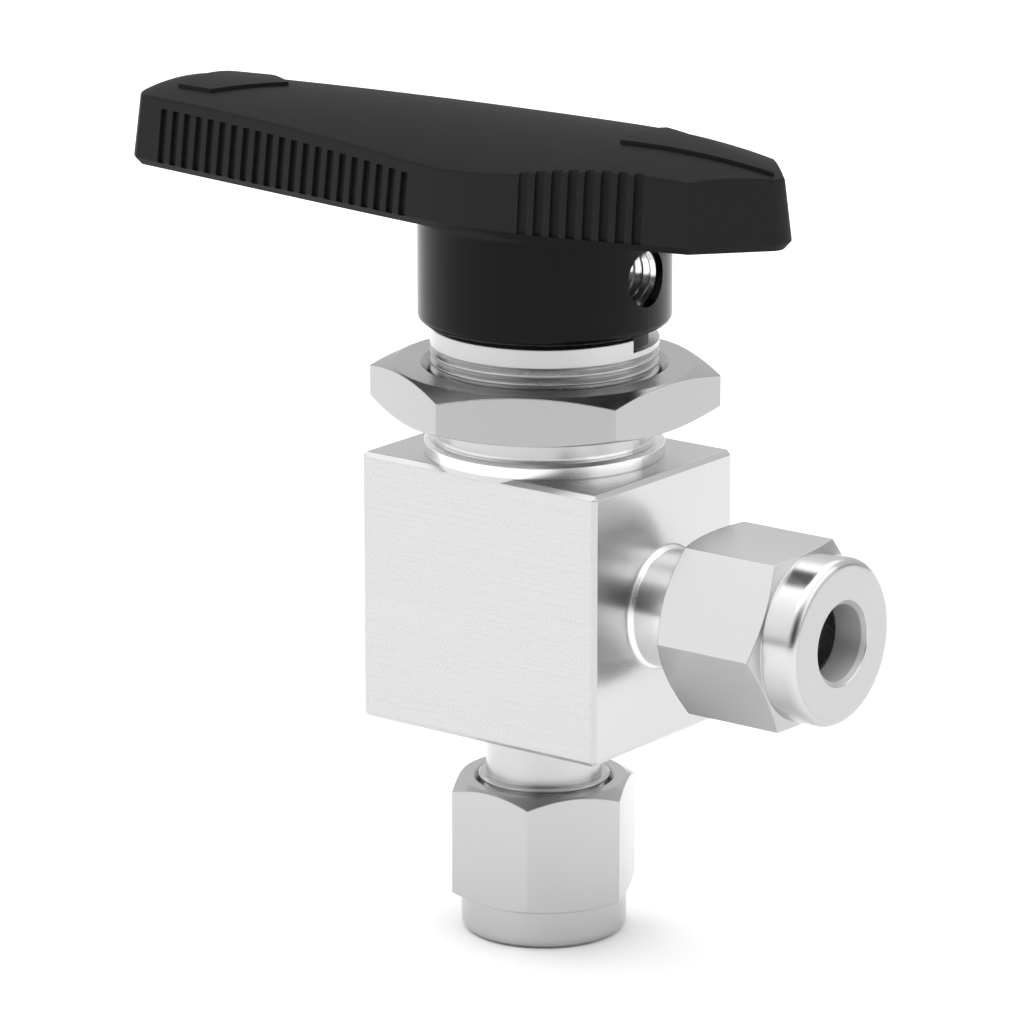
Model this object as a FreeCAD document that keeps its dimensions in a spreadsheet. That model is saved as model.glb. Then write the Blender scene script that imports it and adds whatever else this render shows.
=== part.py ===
import FreeCAD, Part
import math
import os
import re
import Sketcher

# Quarter-turn angle ball valve with two tube fittings, in millimetres.
# Every piece on the stem axis is drawn from the ball's centre, +Z up the stem.
# Every piece of a port is drawn in that port's own frame: origin at the ball's centre,
# its local Z out along the port. The part's origin is the mouth of the bottom port.

SIZES = [
    # Ports and tube
    ("port_reach", 30.2, "ball centre to the mouth of each tube nut"),
    ("tube_bore", 3.22, "radius that takes the 6.35 mm tube"),
    ("mouth_chamfer", 0.4, "chamfer at each tube bore's mouth"),
    ("insertion", 15.2, "depth of the tube's end below the nut's mouth"),
    ("orifice", 2.375, "radius of the flow passage"),
    # Forged and machined block
    ("block_back", 11.9, "stem axis to the back face"),
    ("block_front", 12.4, "stem axis to the side port's face"),
    ("block_width", 19.4, "width across the port"),
    ("block_rise", 11.4, "ball centre to the block's top"),
    ("block_drop", 11.6, "ball centre to the block's bottom"),
    ("block_chamfer", 0.4, "broken edges of the block"),
    # Neck for the panel nut
    ("collar_radius", 10.05, "shoulder that the panel seats on"),
    ("collar_height", 1.3, "height of that shoulder"),
    ("relief_radius", 9.1, "thread relief above the shoulder"),
    ("relief_height", 1.4, "height of the relief"),
    ("neck_radius", 9.525, "crest of the 3/4 in panel thread"),
    ("neck_height", 11.1, "block top to the neck's rim"),
    ("neck_plain", 1.75, "plain band below the rim"),
    ("neck_pitch", 0.75, "pitch of the panel thread"),
    ("neck_thread_depth", 0.4, "depth of the panel thread"),
    ("rim_chamfer", 0.3, "chamfer at the rim and the shoulder"),
    # Stem bore
    ("cavity_radius", 7.2, "bore that holds the packing"),
    ("cavity_depth", 7.2, "ball centre to the bore's floor"),
    ("bolt_bore", 7.75, "bore of the packing bolt's thread"),
    ("bolt_thread_length", 8.6, "depth of that bore below the rim"),
    # Stop notch in the rim
    ("turn_range", 90, "turn of the handle between its stops"),
    ("tab_start", -3, "angle of the stop tab's trailing face"),
    ("tab_angle", 15, "angle that the stop tab spans"),
    ("stop_gap", 0.3, "angle between tab and stop"),
    ("notch_depth", 1.3, "depth of the notch below the rim"),
    # Male ends
    ("end_neck_radius", 4.9, "plain neck of each tube end"),
    ("end_fillet", 0.4, "flare where the neck meets the block"),
    ("end_thread_radius", 5.56, "crest of the 7/16-20 thread"),
    ("end_pitch", 1.27, "pitch of that thread"),
    ("end_thread_depth", 0.62, "depth of that thread"),
    ("end_face", 6.05, "nut's mouth to the male end's face"),
    ("end_thread_proud", 0.4, "thread that shows behind the nut"),
    ("end_thread_lead", 0.2, "chamfer at the inner end of the thread"),
    ("end_chamfer", 0.6, "chamfer at the male end's face"),
    ("seat_mouth", 4.24, "radius of the ferrule seat at the face"),
    ("seat_depth", 2.6, "depth of the ferrule seat's cone"),
    # Tube nuts
    ("nut_flats", 14.29, "9/16 in across the flats"),
    ("nut_length", 13.3, "length of the nut"),
    ("band_radius", 7.0, "round band at the nut's mouth"),
    ("band_length", 3.2, "length of the band with its hex chamfer"),
    ("band_round", 0.8, "rounded edge of the band"),
    ("nut_front_rise", 0.5, "height of the hex chamfer at the band"),
    ("nut_back_rise", 0.75, "height of the hex chamfer at the open end"),
    ("nut_bore_gap", 0.05, "running clearance on the male thread"),
    ("nut_throat", 2.9, "length of the tube bore in the nut"),
    ("nut_pocket", 4.38, "radius of the pocket for the ferrules"),
    ("nut_pocket_end", 5.3, "nut's mouth to the end of that pocket"),
    ("side_nut_turn", 32.8, "turn of the side nut's hexagon"),
    ("bottom_nut_turn", 3, "turn of the bottom nut's hexagon"),
    # Ferrules
    ("ferrule_radius", 4.3, "outer radius of both ferrules"),
    ("ferrule_gap", 0.06, "gap along the port between its pieces"),
    ("back_start", 3.12, "nut's mouth to the back ferrule"),
    ("back_flange", 1.4, "length of the back ferrule's flange"),
    ("back_nose", 0.75, "length of the back ferrule's nose"),
    ("back_nose_radius", 3.72, "radius at the root of that nose"),
    ("front_land", 1.2, "straight length of the front ferrule"),
    ("front_cone", 2.35, "length of the front ferrule's cone"),
    ("front_tip", 3.39, "radius at the front ferrule's tip"),
    # Ball and stem
    ("ball_radius", 5.0, "radius of the ball"),
    ("stem_radius", 2.9, "radius of the stem"),
    ("stem_recess", 0.3, "stem's top below the insert's top"),
    ("stem_flat", 2.3, "stem axis to the flat for the set screw"),
    ("stem_chamfer", 0.4, "chamfer at the stem's top"),
    # Packing and seats
    ("running_gap", 0.05, "clearance around the ball and stem"),
    ("seat_gap", 0.03, "clearance between stacked pieces"),
    ("packing_rise", 6.4, "ball centre to the packing's top"),
    ("ring_start", 5.0, "ball centre to each seat ring"),
    ("ring_thickness", 0.8, "thickness of a seat ring"),
    ("ring_radius", 3.5, "outer radius of a seat ring"),
    ("disc_radius", 3.8, "outer radius of a seat disc"),
    ("seat_bore", 2.45, "bore of the rings, discs and packing"),
    # Live loading above the packing
    ("gland_thickness", 2.0, "thickness of the gland"),
    ("bushing_radius", 3.8, "outer radius of the bushing's sleeve"),
    ("bushing_flange", 4.4, "radius of the bushing's flange"),
    ("bushing_flange_thickness", 0.6, "thickness of that flange"),
    ("spring_bore", 4.65, "inner radius of a disc spring"),
    ("spring_radius", 7.05, "outer radius of a disc spring"),
    ("spring_thickness", 0.6, "thickness of a disc spring"),
    ("spring_cone", 0.5, "free cone height of a disc spring"),
    # Packing bolt
    ("bolt_bore_radius", 3.4, "bore of the packing bolt"),
    ("bolt_nose_radius", 7.1, "plain nose of the bolt"),
    ("bolt_thread_gap", 0.03, "clearance of the bolt's thread"),
    ("bolt_pitch", 1.27, "pitch of the bolt's thread"),
    ("bolt_thread_depth", 0.55, "depth of the bolt's thread"),
    ("bolt_flats", 13.2, "hexagon of the bolt's head"),
    ("bolt_head_rise", 1.6, "rise of the head above the rim"),
    ("bolt_head_drop", 0.5, "foot of the hexagon below the rim"),
    ("spring_seat_depth", 1.4, "counterbore for the grounding spring"),
    ("wire_radius", 0.3, "wire of the grounding spring"),
    ("wire_open_angle", 330, "arc of the grounding spring"),
    # Handle
    ("skirt_gap", 0.2, "rim to the skirt's foot"),
    ("skirt_radius", 10.55, "radius of the skirt"),
    ("skirt_bore", 8.6, "inner radius of the skirt"),
    ("skirt_depth", 1.92, "depth of the recess in the skirt"),
    ("skirt_height", 8.99, "skirt's foot to the bar's underside"),
    ("skirt_round", 0.6, "rounded edge at the skirt's foot"),
    ("tab_bore", 8.15, "inner radius of the stop tab"),
    ("tab_radius", 9.4, "outer radius of the stop tab"),
    ("tab_reach", 1.25, "reach of the stop tab below the skirt"),
    ("bar_height", 7.88, "height of the bar at its crown"),
    ("crown_radius", 20.0, "radius of the crown across the bar"),
    ("long_tip", 39.0, "stem axis to the long arm's corner"),
    ("long_tip_half", 6.4, "half width there"),
    ("long_end_radius", 8.2, "rounded end of the long arm"),
    ("bulge_back", 6.4, "start of the bulge over the hub"),
    ("bulge_back_half", 10.68, "half width there"),
    ("bulge_front", 7.63, "end of the bulge over the hub"),
    ("bulge_front_half", 9.75, "half width there"),
    ("bulge_radius", 36.0, "radius of the bulge"),
    ("short_tip", 19.2, "stem axis to the short arm's corner"),
    ("short_tip_half", 6.6, "half width there"),
    ("point_start", 23.7, "stem axis to the rounded point"),
    ("point_half", 1.5, "half width there"),
    ("point_radius", 2.0, "radius of the point"),
    ("draft", 7.0, "draft of the bar's flanks in degrees"),
    ("bar_chamfer", 0.65, "broken edge under the bar"),
    ("bar_round", 0.35, "rounded edge of the crown"),
    ("crown_back", 37.6, "stem axis to the crown's rear droop"),
    ("crown_back_drop", 0.97, "fall of the crown there"),
    ("crown_end", 43.5, "stem axis to the droop's end"),
    ("crown_end_drop", 4.6, "fall of the crown there"),
    ("crown_front", 6.0, "stem axis to the crown's front droop"),
    ("crown_front_drop", 0.02, "fall of the crown there"),
    ("crown_main_radius", 1000.0, "long radius of the crown"),
    ("crown_tip", 25.4, "stem axis to the front droop's end"),
    ("crown_tip_drop", 2.6, "fall of the crown there"),
    # Finger grooves
    ("long_groove_pitch", 1.454, "pitch of the long arm's grooves"),
    ("short_groove_pitch", 1.37, "pitch of the short arm's grooves"),
    ("groove_width", 0.8, "width of a grip groove"),
    ("groove_depth", 0.4, "depth of a grip groove"),
    ("groove_lip", 0.6, "wall left under a groove"),
    ("groove_rim", 0.5, "wall left above a long arm's groove"),
    ("long_grooves", 21, "grooves on each side of the long arm"),
    ("long_groove_start", 35.85, "stem axis to the first long groove"),
    ("short_grooves", 8, "grooves on each side of the short arm"),
    ("short_groove_start", 5.3, "stem axis to the first short groove"),
    # Raised arrows on the crown
    ("arrow_rise", 0.3, "height of the raised arrows"),
    ("rear_arrow_tail", 36.4, "stem axis to the rear arrow's tail"),
    ("rear_arrow_shoulder", 32.4, "stem axis to its shoulder"),
    ("rear_arrow_tip", 27.2, "stem axis to its tip"),
    ("rear_arrow_tail_half", 3.6, "half width at its tail"),
    ("rear_arrow_half", 4.0, "half width at its shoulder"),
    ("front_arrow_tail", 10.0, "stem axis to the front arrow's tail"),
    ("front_arrow_tip", 22.9, "stem axis to its tip"),
    ("front_arrow_half", 3.2, "half width of the front arrow"),
    # Metal insert and set screw
    ("screw_height", 4.8, "skirt's foot to the set screw's axis"),
    ("screw_radius", 2.0, "radius of the set screw"),
    ("screw_pitch", 0.8, "pitch of its thread"),
    ("screw_thread_depth", 0.3, "depth of its thread"),
    ("screw_length", 5.0, "length of the set screw"),
    ("screw_point", 0.7, "chamfered point of the set screw"),
    ("screw_socket", 1.98, "hexagon socket across the flats"),
    ("screw_socket_depth", 2.2, "depth of that socket"),
    ("insert_hub", 5.4, "radius of the insert round the stem"),
    ("insert_foot", 2.8, "insert's foot below the screw's axis"),
    ("insert_top", 2.8, "insert's top above the screw's axis"),
    ("insert_boss", 2.75, "radius of the insert's screw boss"),
    ("insert_reach", 9.6, "stem axis to the boss's face"),
    ("access_hole", 2.4, "radius of the screw hole in the skirt"),
    ("moulding_gap", 0.02, "gap between insert and handle"),
    # Panel nut
    ("panel_flats", 25.4, "1 in across the flats"),
    ("panel_thickness", 4.15, "thickness of the panel nut"),
    ("panel_height", 3.47, "block top to the panel nut's foot"),
    ("panel_bore_gap", 0.06, "running clearance on the neck"),
    ("panel_countersink", 0.75, "countersink at both ends of its bore"),
    ("hex_land", 0.2, "flat left between a hexagon's chamfer and its flats"),
    ("panel_chamfer_rise", 0.8, "height of the hex chamfer"),
]

NAMES = {name for name, value, meaning in SIZES}
VALUE = {name: value for name, value, meaning in SIZES}

# Heights above the ball's centre, each a formula in the sheet's own names.
COLLAR_TOP = "(block_rise + collar_height)"
RIM = "(block_rise + neck_height)"
NOTCH_FLOOR = f"({RIM} - notch_depth)"
BOLT_BORE_FOOT = f"({RIM} - bolt_thread_length)"
SKIRT_FOOT = f"({RIM} + skirt_gap)"
BAR_FOOT = f"({SKIRT_FOOT} + skirt_height)"
CROWN_TOP = f"({BAR_FOOT} + bar_height)"
CROWN_AXIS = f"({CROWN_TOP} - crown_radius)"
SCREW_AXIS = f"({SKIRT_FOOT} + screw_height)"
INSERT_FOOT = f"({SCREW_AXIS} - insert_foot)"
INSERT_TOP = f"({SCREW_AXIS} + insert_top)"
STEM_TOP = f"({INSERT_TOP} - stem_recess)"

# The crown is one long arc between two droops that leave it at its own slope.
MAIN_SPAN = "sqrt((crown_front + crown_back) ^ 2 + (crown_back_drop - crown_front_drop) ^ 2)"
MAIN_HALF_ANGLE = f"asin({MAIN_SPAN} / 2 / crown_main_radius)"
MAIN_TILT = "atan((crown_back_drop - crown_front_drop) / (crown_front + crown_back))"


def droop_radius(run, fall, slope):
    """Radius of an arc that starts at a slope and falls by fall over run."""
    return f"(sqrt(({run}) ^ 2 + ({fall}) ^ 2) / 2 / sin(atan(({fall}) / ({run})) - ({slope})))"


REAR_DROOP = droop_radius("crown_end - crown_back", "crown_end_drop - crown_back_drop",
                          f"{MAIN_HALF_ANGLE} + {MAIN_TILT}")
FRONT_DROOP = droop_radius("crown_tip - crown_front", "crown_tip_drop - crown_front_drop",
                           f"{MAIN_HALF_ANGLE} - {MAIN_TILT}")
GLAND_FOOT = "(packing_rise + seat_gap)"
GLAND_TOP = f"({GLAND_FOOT} + gland_thickness)"
FLANGE_FOOT = f"({GLAND_TOP} + seat_gap)"
LOWER_SPRING_FOOT = FLANGE_FOOT
UPPER_SPRING_FOOT = f"({LOWER_SPRING_FOOT} + spring_thickness + spring_cone + seat_gap)"
BOLT_FOOT = f"({UPPER_SPRING_FOOT} + spring_thickness + spring_cone + seat_gap)"
BOLT_THREAD_FOOT = f"({BOLT_BORE_FOOT} + seat_gap)"
BOLT_HEAD_FOOT = f"({RIM} - bolt_head_drop)"
BOLT_TOP = f"({RIM} + bolt_head_rise)"
SPRING_SEAT = f"({BOLT_TOP} - spring_seat_depth)"
DISC_START = "(ring_start + ring_thickness + seat_gap)"
PACKING_RADIUS = "(cavity_radius - seat_gap)"

# Distances out along a port from the ball's centre.
NUT_BACK = "(port_reach - nut_length)"
SOCKET_END = "(port_reach - insertion)"
END_FACE = "(port_reach - end_face)"
END_THREAD_START = f"({NUT_BACK} - end_thread_proud)"
FRONT_BACK_FACE = "(port_reach - back_start - back_flange - ferrule_gap)"

doc = FreeCAD.newDocument("angle_ball_valve")
sheet = doc.addObject("Spreadsheet::Sheet", "dims")


def fill_sheet():
    for row, (name, value, meaning) in enumerate(SIZES, start=1):
        sheet.set(f"A{row}", meaning)
        sheet.set(f"B{row}", str(value))
        sheet.setAlias(f"B{row}", name)
    doc.recompute()


def in_sheet(formula):
    def sheet_name(word):
        return "dims." + word[0] if word[0] in NAMES else word[0]

    return re.sub(r"[a-z][a-z_]*", sheet_name, str(formula))


def number(formula):
    result = sheet.evalExpression(in_sheet(formula))
    return float(getattr(result, "Value", result))


def bind(thing, prop, formula):
    thing.setExpression(prop, in_sheet(formula))


def new_body(name):
    """A body whose origin is the ball's centre."""
    body = doc.addObject("PartDesign::Body", name)
    body.Label = name
    bind(body, "Placement.Base.z", "port_reach")
    return body


def face_port(body, side):
    """Turn a body drawn along its local Z to face out of the side or the bottom port."""
    axis, angle = (FreeCAD.Vector(0, 1, 0), 90) if side == "side" else (FreeCAD.Vector(1, 0, 0), 180)
    body.Placement = FreeCAD.Placement(body.Placement.Base, FreeCAD.Rotation(axis, angle))
    bind(body, "Placement.Base.z", "port_reach")


def new_sketch(body, name, plane, height=None, lift=None, frame=None):
    sketch = body.newObject("Sketcher::SketchObject", name)
    support = next(item for item in body.Origin.OriginFeatures if item.Role == plane)
    sketch.AttachmentSupport = [(support, "")]
    sketch.MapMode = "FlatFace"
    if frame is not None:
        sketch.AttachmentOffset = frame
    if height is not None:
        bind(sketch, "AttachmentOffset.Base.z", height)
    if lift is not None:
        bind(sketch, "AttachmentOffset.Base.y", lift)
    return sketch


def arc_between(start, end, radius):
    """Arc from start to end that bulges to the right of that direction."""
    chord = end - start
    sagitta = math.sqrt(max(radius ** 2 - (chord.Length / 2) ** 2, 0))
    left = FreeCAD.Vector(-chord.y, chord.x, 0).normalize()
    centre = (start + end) / 2 + left * sagitta
    first = math.atan2(start.y - centre.y, start.x - centre.x)
    last = math.atan2(end.y - centre.y, end.x - centre.x)
    return Part.ArcOfCircle(Part.Circle(centre, FreeCAD.Vector(0, 0, 1), radius), first, last)


def hold(sketch, kind, *where):
    """Add a size to the sketch and tie it to its formula, the last item of where."""
    formula = where[-1]
    index = sketch.addConstraint(Sketcher.Constraint(kind, *where[:-1], number(formula)))
    label = f"size{index}"
    sketch.renameConstraint(index, label)
    bind(sketch, f"Constraints.{label}", formula)


def outline(sketch, corners):
    """Closed outline through corners (x, y) or (x, y, radius of the arc to the next corner)."""
    first = len(sketch.Geometry)
    points = [FreeCAD.Vector(number(corner[0]), number(corner[1]), 0) for corner in corners]
    count = len(corners)
    for index, corner in enumerate(corners):
        start = points[index]
        end = points[(index + 1) % count]
        if len(corner) == 3:
            sketch.addGeometry(arc_between(start, end, number(corner[2])), False)
        else:
            sketch.addGeometry(Part.LineSegment(start, end), False)
    for index, corner in enumerate(corners):
        following = first + (index + 1) % count
        sketch.addConstraint(Sketcher.Constraint("Coincident", first + index, 2, following, 1))
        hold(sketch, "DistanceX", -1, 1, first + index, 1, corner[0])
        hold(sketch, "DistanceY", -1, 1, first + index, 1, corner[1])
        if len(corner) == 3:
            hold(sketch, "Radius", first + index, corner[2])


def circle(sketch, radius, x=None, y=None):
    index = sketch.addGeometry(Part.Circle(FreeCAD.Vector(0, 0, 0), FreeCAD.Vector(0, 0, 1), 1), False)
    hold(sketch, "Radius", index, radius)
    hold(sketch, "DistanceX", -1, 1, index, 3, x or "0")
    hold(sketch, "DistanceY", -1, 1, index, 3, y or "0")


def hexagon(flats, turn):
    """Corners of a hexagon, given its width across the flats and its turn in degrees."""
    corner = f"{flats} / 2 / cos(30)"
    return [(f"{corner} * cos({turn} + {60 * step})", f"{corner} * sin({turn} + {60 * step})")
            for step in range(6)]


def teeth(crest, depth, start, pitch, count):
    """Corners of annular V grooves cut into a crest radius, one pitch apart, going up from start."""
    corners = []
    for step in range(count):
        foot = f"{start} + {step} * {pitch}"
        corners.append((crest, f"{foot} + 0.1 * {pitch}"))
        corners.append((f"{crest} - {depth}", f"{foot} + 0.5 * {pitch}"))
        corners.append((crest, f"{foot} + 0.9 * {pitch}"))
    return corners


def whole_pitches(length, pitch):
    return max(1, int(number(f"({length}) / ({pitch})")))


def revolve(body, name, corners, axis="V_Axis", cut=False, lift=None):
    """Turn an outline about an axis of its sketch, to add to the body or cut from it."""
    sketch = new_sketch(body, f"{name}_profile", "XZ_Plane", lift=lift)
    outline(sketch, corners)
    feature = body.newObject("PartDesign::Groove" if cut else "PartDesign::Revolution", name)
    feature.Profile = sketch
    feature.ReferenceAxis = (sketch, [axis])
    feature.Angle = 360
    settle(body, feature)
    return feature


def prism(body, name, sketch, length, cut=False, both=False, back=False, taper=None):
    """Push a sketch along its normal, to add to the body or cut from it."""
    feature = body.newObject("PartDesign::Pocket" if cut else "PartDesign::Pad", name)
    feature.Profile = sketch
    bind(feature, "Length", length)
    feature.Reversed = back
    feature.Midplane = both
    if taper is not None:
        bind(feature, "TaperAngle", taper)
    settle(body, feature)
    return feature


def settle(body, feature):
    """Recompute the body and stop if the new feature failed or changed nothing."""
    before = feature.BaseFeature.Shape.Volume if feature.BaseFeature else 0
    body.Tip = feature
    doc.recompute()
    failed = {"Invalid", "Error"} & set(feature.State)
    if failed or feature.Shape.isNull() or abs(feature.Shape.Volume - before) < 1e-6:
        raise RuntimeError(f"{body.Label}: {feature.Name} failed or changed nothing")


def edges_where(feature, test):
    return [f"Edge{index}" for index, edge in enumerate(feature.Shape.Edges, start=1) if test(edge)]


def soften(body, name, kind, edges, size):
    """Fillet or chamfer the named edges of the body's last feature."""
    base = body.Tip
    feature = body.newObject(f"PartDesign::{kind}", name)
    feature.Base = (base, edges)
    bind(feature, "Radius" if kind == "Fillet" else "Size", size)
    settle(body, feature)
    return feature


def mirror_across(body, name, originals, plane):
    support = next(item for item in body.Origin.OriginFeatures if item.Role == plane)
    feature = body.newObject("PartDesign::Mirrored", name)
    feature.Originals = originals
    feature.MirrorPlane = (support, [""])
    settle(body, feature)
    return feature


def make_valve_body():
    body = new_body("valve_body")
    plan = new_sketch(body, "block_plan", "XY_Plane", height="-block_drop")
    half = "block_width / 2"
    outline(plan, [("-block_back", f"-{half}"), ("block_front", f"-{half}"),
                   ("block_front", half), ("-block_back", half)])
    block = prism(body, "block", plan, "block_rise + block_drop")
    soften(body, "block_edges", "Chamfer", edges_where(block, lambda edge: True), "block_chamfer")

    thread_span = f"({RIM} - neck_plain) - ({COLLAR_TOP} + relief_height)"
    turns = whole_pitches(thread_span, "neck_pitch")
    thread_foot = f"({RIM} - neck_plain - {turns} * neck_pitch)"
    revolve(body, "neck", [
        ("0", "block_rise - block_chamfer"),
        ("collar_radius", "block_rise - block_chamfer"),
        ("collar_radius", f"{COLLAR_TOP} - rim_chamfer"),
        ("collar_radius - rim_chamfer", COLLAR_TOP),
        ("relief_radius", COLLAR_TOP),
        ("relief_radius", f"{thread_foot} - (neck_radius - relief_radius)"),
        ("neck_radius", thread_foot),
        *teeth("neck_radius", "neck_thread_depth", thread_foot, "neck_pitch", turns),
        ("neck_radius", f"{RIM} - rim_chamfer"),
        ("neck_radius - rim_chamfer", RIM),
        ("0", RIM),
    ])
    ends = (("side", "H_Axis", "", "block_front"), ("bottom", "V_Axis", "-", "block_drop"))
    for side, axis, sign, face in ends:
        revolve(body, f"{side}_end", along_port(male_end(face), axis, sign), axis=axis)
    revolve(body, "stem_bore", [
        ("0", "-cavity_depth"),
        ("cavity_radius", "-cavity_depth"),
        ("cavity_radius", BOLT_BORE_FOOT),
        ("bolt_bore", BOLT_BORE_FOOT),
        ("bolt_bore", f"{RIM} + 1"),
        ("0", f"{RIM} + 1"),
    ], cut=True)
    for side, axis, sign in (("side", "H_Axis", ""), ("bottom", "V_Axis", "-")):
        revolve(body, f"{side}_passage", along_port(PASSAGE, axis, sign), axis=axis, cut=True)

    notch = new_sketch(body, "notch_plan", "XY_Plane", height=RIM)
    first = "tab_start - stop_gap"
    sweep = "(turn_range + tab_angle + 2 * stop_gap)"
    reach = "(neck_radius * 1.3)"
    corners = [("0", "0")]
    for step in range(4):
        angle = f"{first} + {sweep} * {step} / 3"
        corners.append((f"{reach} * cos({angle})", f"{reach} * sin({angle})"))
    outline(notch, corners)
    prism(body, "stop_notch", notch, "notch_depth", cut=True)


def along_port(corners, axis, sign):
    """Corners (radius, distance out along the port) as sketch corners for that port's axis."""
    if axis == "H_Axis":
        return [(distance, radius) for radius, distance in corners]
    return [(radius, f"{sign}({distance})") for radius, distance in corners]


def male_end(face):
    """Outline of a male tube end from inside the block to its face."""
    turns = whole_pitches(f"{END_FACE} - end_chamfer - {END_THREAD_START} - end_thread_lead", "end_pitch")
    return [
        ("0", f"{face} - block_chamfer"),
        ("end_neck_radius + end_fillet", f"{face} - block_chamfer"),
        ("end_neck_radius + end_fillet", face),
        ("end_neck_radius", f"{face} + end_fillet"),
        ("end_neck_radius", END_THREAD_START),
        ("end_thread_radius - end_thread_lead", END_THREAD_START),
        ("end_thread_radius", f"{END_THREAD_START} + end_thread_lead"),
        *teeth("end_thread_radius", "end_thread_depth",
               f"({END_THREAD_START} + end_thread_lead)", "end_pitch", turns),
        ("end_thread_radius", f"{END_FACE} - end_chamfer"),
        ("end_thread_radius - end_chamfer", END_FACE),
        ("0", END_FACE),
    ]


# Passage from the packing out to the ferrule seat.
PASSAGE = [
    ("0", "0"),
    ("orifice", "0"),
    ("orifice", SOCKET_END),
    ("tube_bore", SOCKET_END),
    ("tube_bore", f"{END_FACE} - seat_depth"),
    ("seat_mouth", END_FACE),
    ("seat_mouth", f"{END_FACE} + 1"),
    ("0", f"{END_FACE} + 1"),
]


def make_ball_stem():
    body = new_body("ball_stem")
    joint = "sqrt(ball_radius ^ 2 - stem_radius ^ 2)"
    revolve(body, "ball_and_stem", [
        ("0", "-ball_radius", "ball_radius"),
        ("stem_radius", joint),
        ("stem_radius", f"{STEM_TOP} - stem_chamfer"),
        ("stem_radius - stem_chamfer", STEM_TOP),
        ("0", STEM_TOP),
    ])
    for side, axis, sign in (("side", "H_Axis", ""), ("bottom", "V_Axis", "-")):
        reach = [("0", "-0.5"), ("orifice", "-0.5"), ("orifice", "ball_radius + 1"), ("0", "ball_radius + 1")]
        revolve(body, f"{side}_way", along_port(reach, axis, sign), axis=axis, cut=True)
    flat = new_sketch(body, "flat_plan", "XY_Plane", height=STEM_TOP)
    outline(flat, [("stem_flat", "-stem_radius"), ("stem_radius + 1", "-stem_radius"),
                   ("stem_radius + 1", "stem_radius"), ("stem_flat", "stem_radius")])
    prism(body, "screw_flat", flat, f"{STEM_TOP} - {INSERT_FOOT}", cut=True)


def make_packing():
    body = new_body("packing")
    bore = "(stem_radius + running_gap)"
    hollow = "(ball_radius + running_gap)"
    revolve(body, "plug", [
        ("0", "-cavity_depth + seat_gap"),
        (PACKING_RADIUS, "-cavity_depth + seat_gap"),
        (PACKING_RADIUS, "packing_rise"),
        ("0", "packing_rise"),
    ])
    revolve(body, "ball_hollow", [
        ("0", f"-{hollow}", hollow),
        (bore, f"sqrt({hollow} ^ 2 - {bore} ^ 2)"),
        (bore, "packing_rise + 1"),
        ("0", "packing_rise + 1"),
    ], cut=True)
    seat = [
        ("0", "0"),
        ("seat_bore", "0"),
        ("seat_bore", "ring_start - seat_gap"),
        ("ring_radius + seat_gap", "ring_start - seat_gap"),
        ("ring_radius + seat_gap", f"{DISC_START} - seat_gap"),
        ("disc_radius + seat_gap", f"{DISC_START} - seat_gap"),
        ("disc_radius + seat_gap", "cavity_radius + 1"),
        ("0", "cavity_radius + 1"),
    ]
    for side, axis, sign in (("side", "H_Axis", ""), ("bottom", "V_Axis", "-")):
        revolve(body, f"{side}_seat", along_port(seat, axis, sign), axis=axis, cut=True)


def make_seats(side):
    ring = new_body(f"{side}_seat_ring")
    revolve(ring, f"{side}_ring_turned", [
        ("seat_bore", "ring_start"),
        ("ring_radius", "ring_start"),
        ("ring_radius", "ring_start + ring_thickness"),
        ("seat_bore", "ring_start + ring_thickness"),
    ])
    face_port(ring, side)
    disc = new_body(f"{side}_seat_disc")
    end = PACKING_RADIUS if side == "side" else "cavity_depth - seat_gap"
    revolve(disc, f"{side}_disc_turned", [
        ("seat_bore", DISC_START),
        ("disc_radius", DISC_START),
        ("disc_radius", end),
        ("seat_bore", end),
    ])
    face_port(disc, side)
    if side == "side":
        round_back(disc)


def round_back(disc):
    """Cut the side disc's back to the round wall of the packing bore."""
    cut = new_sketch(disc, "bore_wall", "YZ_Plane")
    half = "(disc_radius + 1)"
    edge = f"sqrt(({PACKING_RADIUS}) ^ 2 - {half} ^ 2)"
    outline(cut, [(half, edge, PACKING_RADIUS), (f"-{half}", edge),
                  (f"-{half}", "cavity_radius + 1"), (half, "cavity_radius + 1")])
    prism(disc, "rounded_back", cut, "4 * disc_radius", cut=True, both=True)


def make_gland():
    body = new_body("gland")
    bore = "(bushing_radius + seat_gap)"
    revolve(body, "gland_turned", [(bore, GLAND_FOOT), (PACKING_RADIUS, GLAND_FOOT),
                                   (PACKING_RADIUS, GLAND_TOP), (bore, GLAND_TOP)])


def make_bushing():
    body = new_body("stem_bushing")
    bore = "(stem_radius + running_gap)"
    top = f"({FLANGE_FOOT} + bushing_flange_thickness)"
    revolve(body, "bushing_turned", [
        (bore, GLAND_FOOT), ("bushing_radius", GLAND_FOOT), ("bushing_radius", FLANGE_FOOT),
        ("bushing_flange", FLANGE_FOOT), ("bushing_flange", top), (bore, top),
    ])


def make_disc_springs():
    low = LOWER_SPRING_FOOT
    body = new_body("disc_spring_lower")
    revolve(body, "lower_cone", [
        ("spring_radius", low),
        ("spring_radius", f"{low} + spring_thickness"),
        ("spring_bore", f"{low} + spring_thickness + spring_cone"),
        ("spring_bore", f"{low} + spring_cone"),
    ])
    high = UPPER_SPRING_FOOT
    body = new_body("disc_spring_upper")
    revolve(body, "upper_cone", [
        ("spring_bore", high),
        ("spring_radius", f"{high} + spring_cone"),
        ("spring_radius", f"{high} + spring_thickness + spring_cone"),
        ("spring_bore", f"{high} + spring_thickness"),
    ])


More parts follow.
